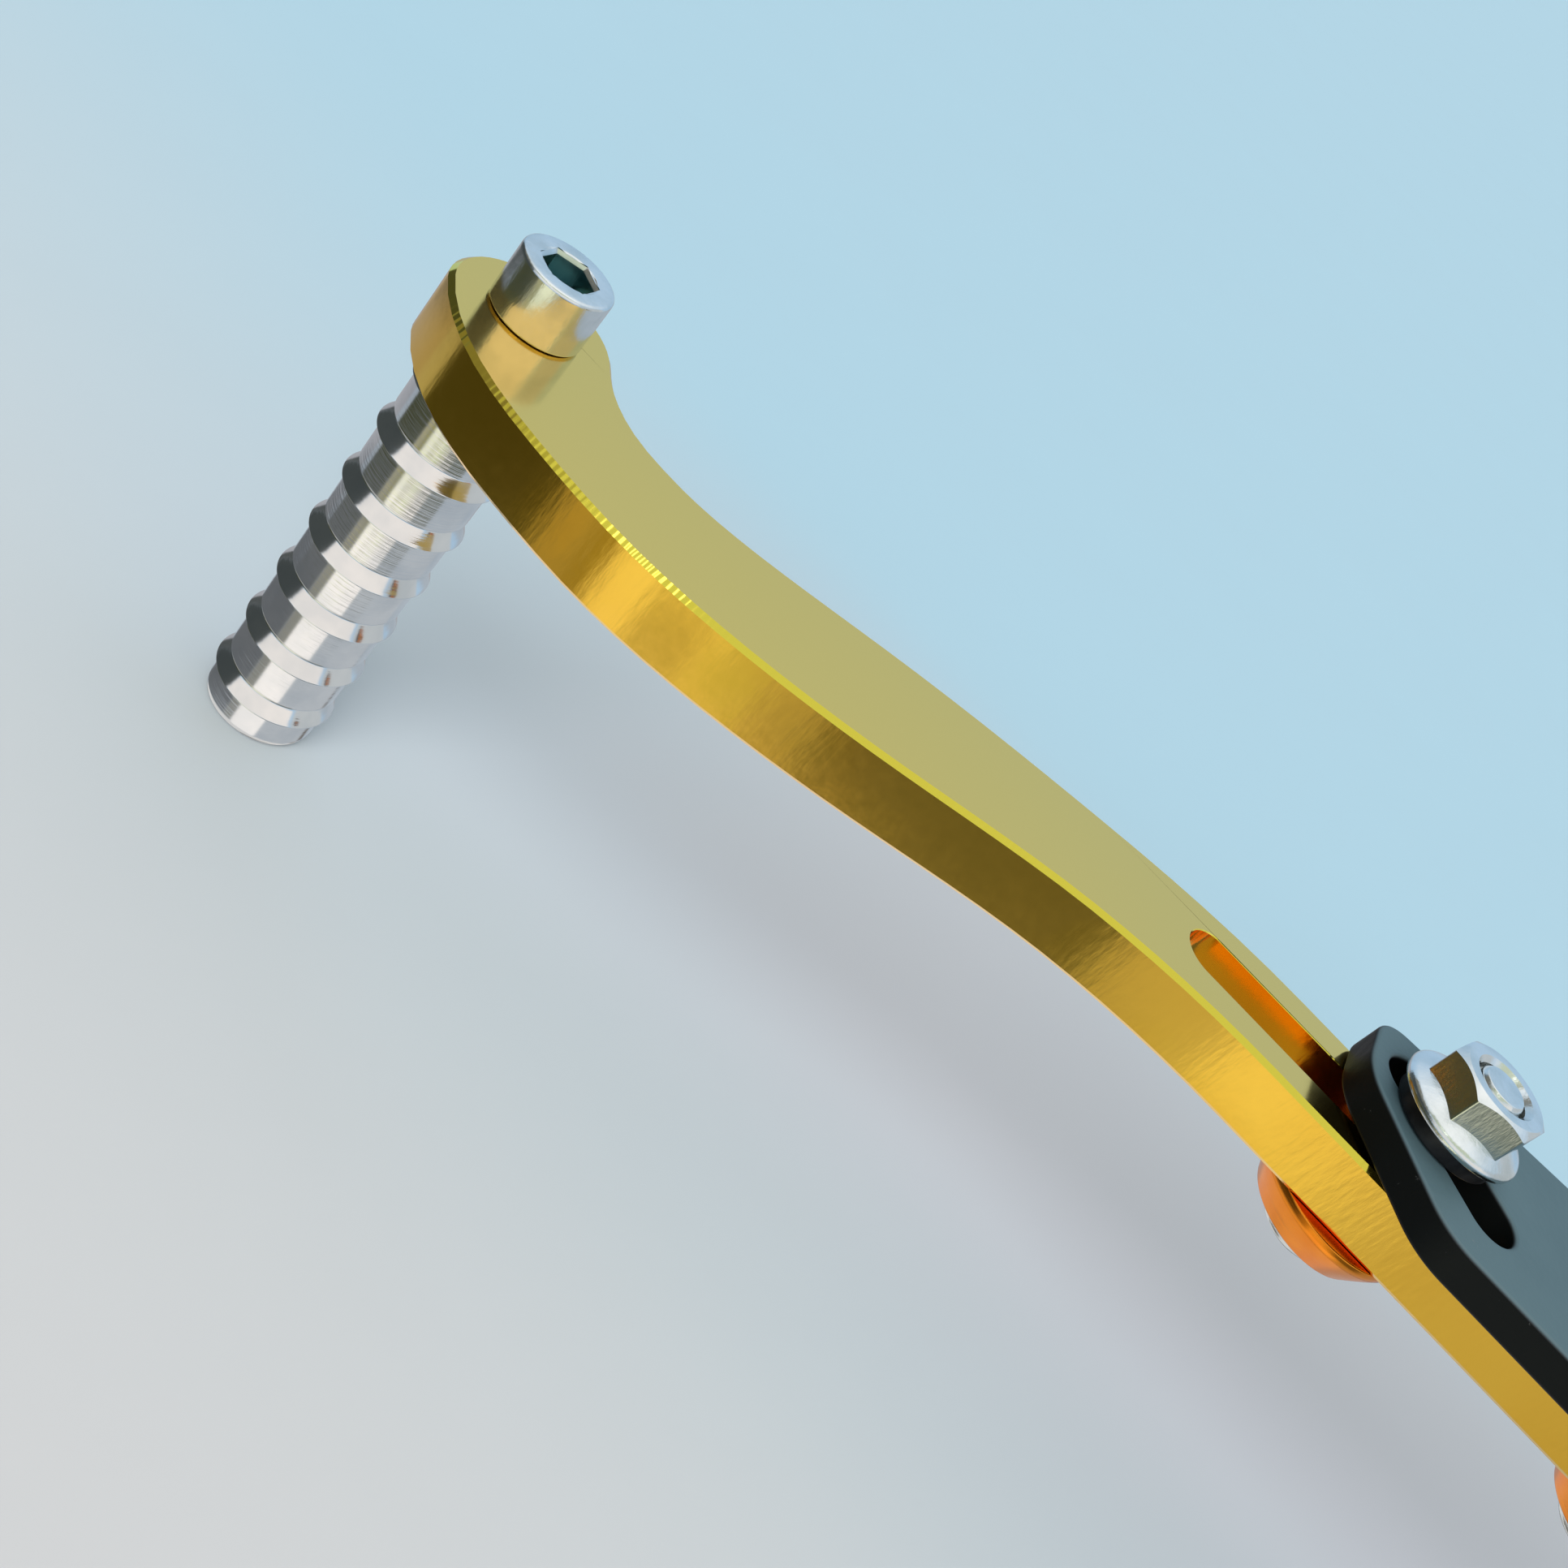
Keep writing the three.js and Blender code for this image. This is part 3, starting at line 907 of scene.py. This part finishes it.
# ---------- bracket ----------
PLATE_RIM = 0.5 * MM
HUB_RIM = 0.2 * MM


def bracket_plate():
    """The plate with its rims rounded, slanted slot and rear hole included."""
    plate = plate_from("bracket", "bracket_plate", PLATE_RIM, rim_steps=3)
    smooth(plate)
    fit(plate, "bracket", "black_satin", black, "bracket_plate")


def clamp_hub():
    """Split hub with a splined bore and the pinch bolt's hole across its lugs."""
    hub = plate_from("hub", "clamp_hub", HUB_RIM, height=hub_low.z + 2 * MM)
    centre = (pinch_low + pinch_high) / 2
    clear_selection()
    bpy.ops.mesh.primitive_cylinder_add(
        vertices=64,
        radius=3.25 * MM,
        depth=30 * MM,
        location=(centre.x, 0, centre.z),
        rotation=(math.pi / 2, 0, 0),
    )
    cut(hub, named("hole_tool"))
    smooth(hub)
    fit(hub, "bracket", "black_satin", black, "clamp_hub")


WELD_SPREAD = math.radians(56)
WELD_COINS = 26


def weld_bead(side, height):
    """Bead of overlapping weld coins where the plate meets the hub."""
    radius = (hub_high.y - hub_low.y) / 2 + 0.3 * MM
    clear_selection()
    coins = []
    for number in range(WELD_COINS):
        angle = math.pi - WELD_SPREAD + 2 * WELD_SPREAD * number / (WELD_COINS - 1)
        bpy.ops.mesh.primitive_uv_sphere_add(
            segments=16,
            ring_count=10,
            radius=1.35 * MM,
            location=(radius * math.cos(angle), radius * math.sin(angle), height),
            rotation=(0, 0, angle + math.pi / 2),
            scale=(0.75, 1, 0.55),
        )
        coins.append(bpy.context.object)
    pick(coins[0])
    for coin in coins:
        coin.select_set(True)
    bpy.ops.object.join()
    bead = named("weld_bead_" + side)
    place_in_mesh(bead)
    apply_modifier(bead, "REMESH", mode="VOXEL", voxel_size=0.16 * MM)
    apply_modifier(bead, "SMOOTH", factor=0.5, iterations=3)
    smooth(bead, 60)
    fit(bead, "bracket", "black_satin", black)


# ---------- floor, light and camera ----------
FLOOR_WIDTH = 40
FLOOR_DROP = 0.1 * MM


def floor():
    """Pale paper floor just under the toe peg's end, with painted light: cooler towards the back as
    painted daylight, and a painted warm shadow band beside the arm.
    """
    clear_selection()
    bpy.ops.mesh.primitive_plane_add(size=FLOOR_WIDTH, location=(0, 0, cad_low.z - FLOOR_DROP))
    ground = named("floor")

    def finish(tree):
        across, away, up = tree.parts(tree.node("ShaderNodeTexCoord", output=OBJECT_PLACE))
        # Painted light: neutral grey in front turning cool blue towards the back, painting daylight
        # from behind.
        near = colour(0.60, 0.58, 0.58)
        far = colour(0.395, 0.575, 0.675)
        paper = tree.noise(tree.place(), 25.0, 3.0)
        body = tree.mix(away.between(-0.13, 0.15), near, far)
        # Painted shadow: a darker warm grey band on the floor beside the arm, with the gold's warm
        # glow in it.
        painted_shadow_band = away.between(-0.03, 0.04) * away.between(0.13, 0.07) * across.between(-0.26, -0.12)
        body = tree.mix(0.9 * painted_shadow_band, body, colour(0.52, 0.515, 0.54))
        return {
            "Base Color": tree.mix(0.06 * paper, body, colour(0.4, 0.4, 0.45)),
            "Roughness": 0.9,
            "Normal": tree.bump(paper, 0.3 * MM),
        }

    ground.data.materials.append(material("floor_finish", finish))
    ground.visible_glossy = False


def patch(turn, rise, turn_from, turn_to, rise_from, rise_to):
    """1 inside a window of directions, given in degrees, and 0 outside it, with soft edges."""
    side = 2.5
    ledge = 1.2
    sideways = turn.between(turn_from - side, turn_from + side)
    sideways = sideways * turn.between(turn_to + side, turn_to - side)
    upwards = rise.between(rise_from - ledge, rise_from + ledge)
    return sideways * upwards * rise.between(rise_to + ledge, rise_to - ledge)


# Flags and reflectors, each as (turn from, turn to, rise from, rise to) in degrees and a colour.
# Turn is 0 towards -Y and grows towards +X; rise is 0 level and grows upwards. A later one covers
# an earlier one.
WINDOWS = (
    # What the arm's flank and the boss mirror.
    ((-190, -95, -33, -9), colour(0.41, 0.42, 0.45)),
    ((-82, -25, -33, -9), colour(0.06, 0.065, 0.03)),
    ((-25, -17, -33, -9), colour(0.46, 0.42, 0.22)),
    ((-17, -9, -33, -9), colour(0.32, 0.29, 0.08)),
    ((-9, 21, -33, -9), colour(0.98, 0.98, 0.66)),
    ((21, 34, -33, -9), colour(0.56, 0.56, 0.40)),
    ((3, 17, -33, -29.5), colour(0.40, 0.41, 0.20)),
    ((17, 27, -33, -29.5), colour(0.54, 0.60, 0.26)),
    ((27, 34, -33, -29.5), colour(0.32, 0.32, 0.20)),
    ((34, 78, -33, -9), colour(0.13, 0.14, 0.10)),
    ((-128, -82, -27, -9), colour(0.09, 0.10, 0.10)),
    # What the toe peg and the cone washers mirror.
    ((-140, -28, -44, -33), colour(0.14, 0.15, 0.16)),
    ((-28, -6, -44, -33), colour(0.27, 0.27, 0.24)),
    ((138, 162, -50, -39), colour(0.16, 0.14, 0.12)),
    ((155, 190, -80, -64), colour(0.14, 0.12, 0.10)),
    ((-190, -163, -80, -64), colour(0.14, 0.12, 0.10)),
    ((85, 140, -9, 32), colour(0.56, 0.60, 0.62)),
    ((-8, 50, -55, -33), colour(1.10, 1.06, 1.02)),
    ((58, 66, -50, -33), colour(0.70, 0.70, 0.66)),
    ((50, 150, -55, -33), colour(0.50, 0.54, 0.58)),
    # What the heads, the nuts and the arm's upper rim mirror.
    ((-125, -38, -9, 30), colour(0.06, 0.07, 0.07)),
    ((-125, -52, 30, 50), colour(0.20, 0.19, 0.15)),
    ((-38, 80, 5, 40), colour(0.95, 0.91, 0.87)),
    ((-58, -40, 44, 68), colour(0.40, 0.42, 0.28)),
    ((-40, 75, 46, 68), colour(0.62, 0.68, 0.50)),
    ((-14, -5, 53, 64), colour(2.6, 2.6, 2.4)),
)


def studio():
    """Soft surroundings: a pale sky, with flags and reflectors, before a plain backdrop."""
    world = bpy.data.worlds.new("studio")
    bpy.context.scene.world = world
    tree = Tree(world)
    across, along, up = tree.parts(tree.node("ShaderNodeTexCoord", output=DIRECTION))
    degree = 180 / math.pi
    turn = across.maths("ARCTAN2", across, -1 * along) * degree
    rise = up.maths("ARCSINE", up) * degree
    light = tree.mix(rise.between(15, 85), colour(0.44, 0.62, 0.80), colour(1.15, 1.15, 1.12))
    light = tree.mix(rise.between(-2, -12), light, colour(0.44, 0.50, 0.56))
    light = tree.mix(rise.between(-44, -49), light, colour(0.80, 0.79, 0.77))
    for window, tint in WINDOWS:
        light = tree.mix(patch(turn, rise, *window), light, tint)
    seen_directly = tree.node("ShaderNodeLightPath", output=0)
    light = tree.mix(seen_directly, light, colour(0.56, 0.63, 0.68))
    shade = tree.node("ShaderNodeBackground", {}, {"Color": light, "Strength": 1.0})
    tree.node("ShaderNodeOutputWorld", {}, {"Surface": shade})


def key_light():
    """Wide soft light from the front, above the viewer's shoulder."""
    data = bpy.data.lights.new("key", "SUN")
    data.angle = math.radians(40)
    data.energy = 2.0
    light = bpy.data.objects.new("key", data)
    travel = Vector((0.0, 0.6, -0.5))
    light.rotation_euler = travel.to_track_quat("-Z", "Y").to_euler()
    light.visible_glossy = False
    bpy.context.scene.collection.objects.link(light)


LENS = 42.86
EYE = Vector((-0.14564, -0.16387, 0.08005))
TARGET = Vector((-0.1519, -0.0285, -0.004))
ROLL = math.radians(44.8)


def camera():
    """Close above the arm's front, rolled so that the arm runs down across the frame."""
    data = bpy.data.cameras.new("camera")
    data.lens = LENS
    data.clip_start = 0.01
    data.clip_end = 60
    eye = bpy.data.objects.new("camera", data)
    eye.location = EYE
    roll = Matrix.Rotation(ROLL, 3, "Z")
    look = (TARGET - EYE).to_track_quat("-Z", "Y").to_matrix()
    eye.rotation_euler = (look @ roll).to_euler()
    bpy.context.scene.collection.objects.link(eye)
    bpy.context.scene.camera = eye


shift_arm()
toe_peg()
peg_screw()
slot_fasteners()
bracket_plate()
clamp_hub()
weld_bead("upper", plate_high.z)
weld_bead("lower", plate_low.z)
pinch_bolt()
pinch_washer()
floor()
studio()
key_light()
camera()
bpy.context.scene.view_settings.view_transform = "Standard"
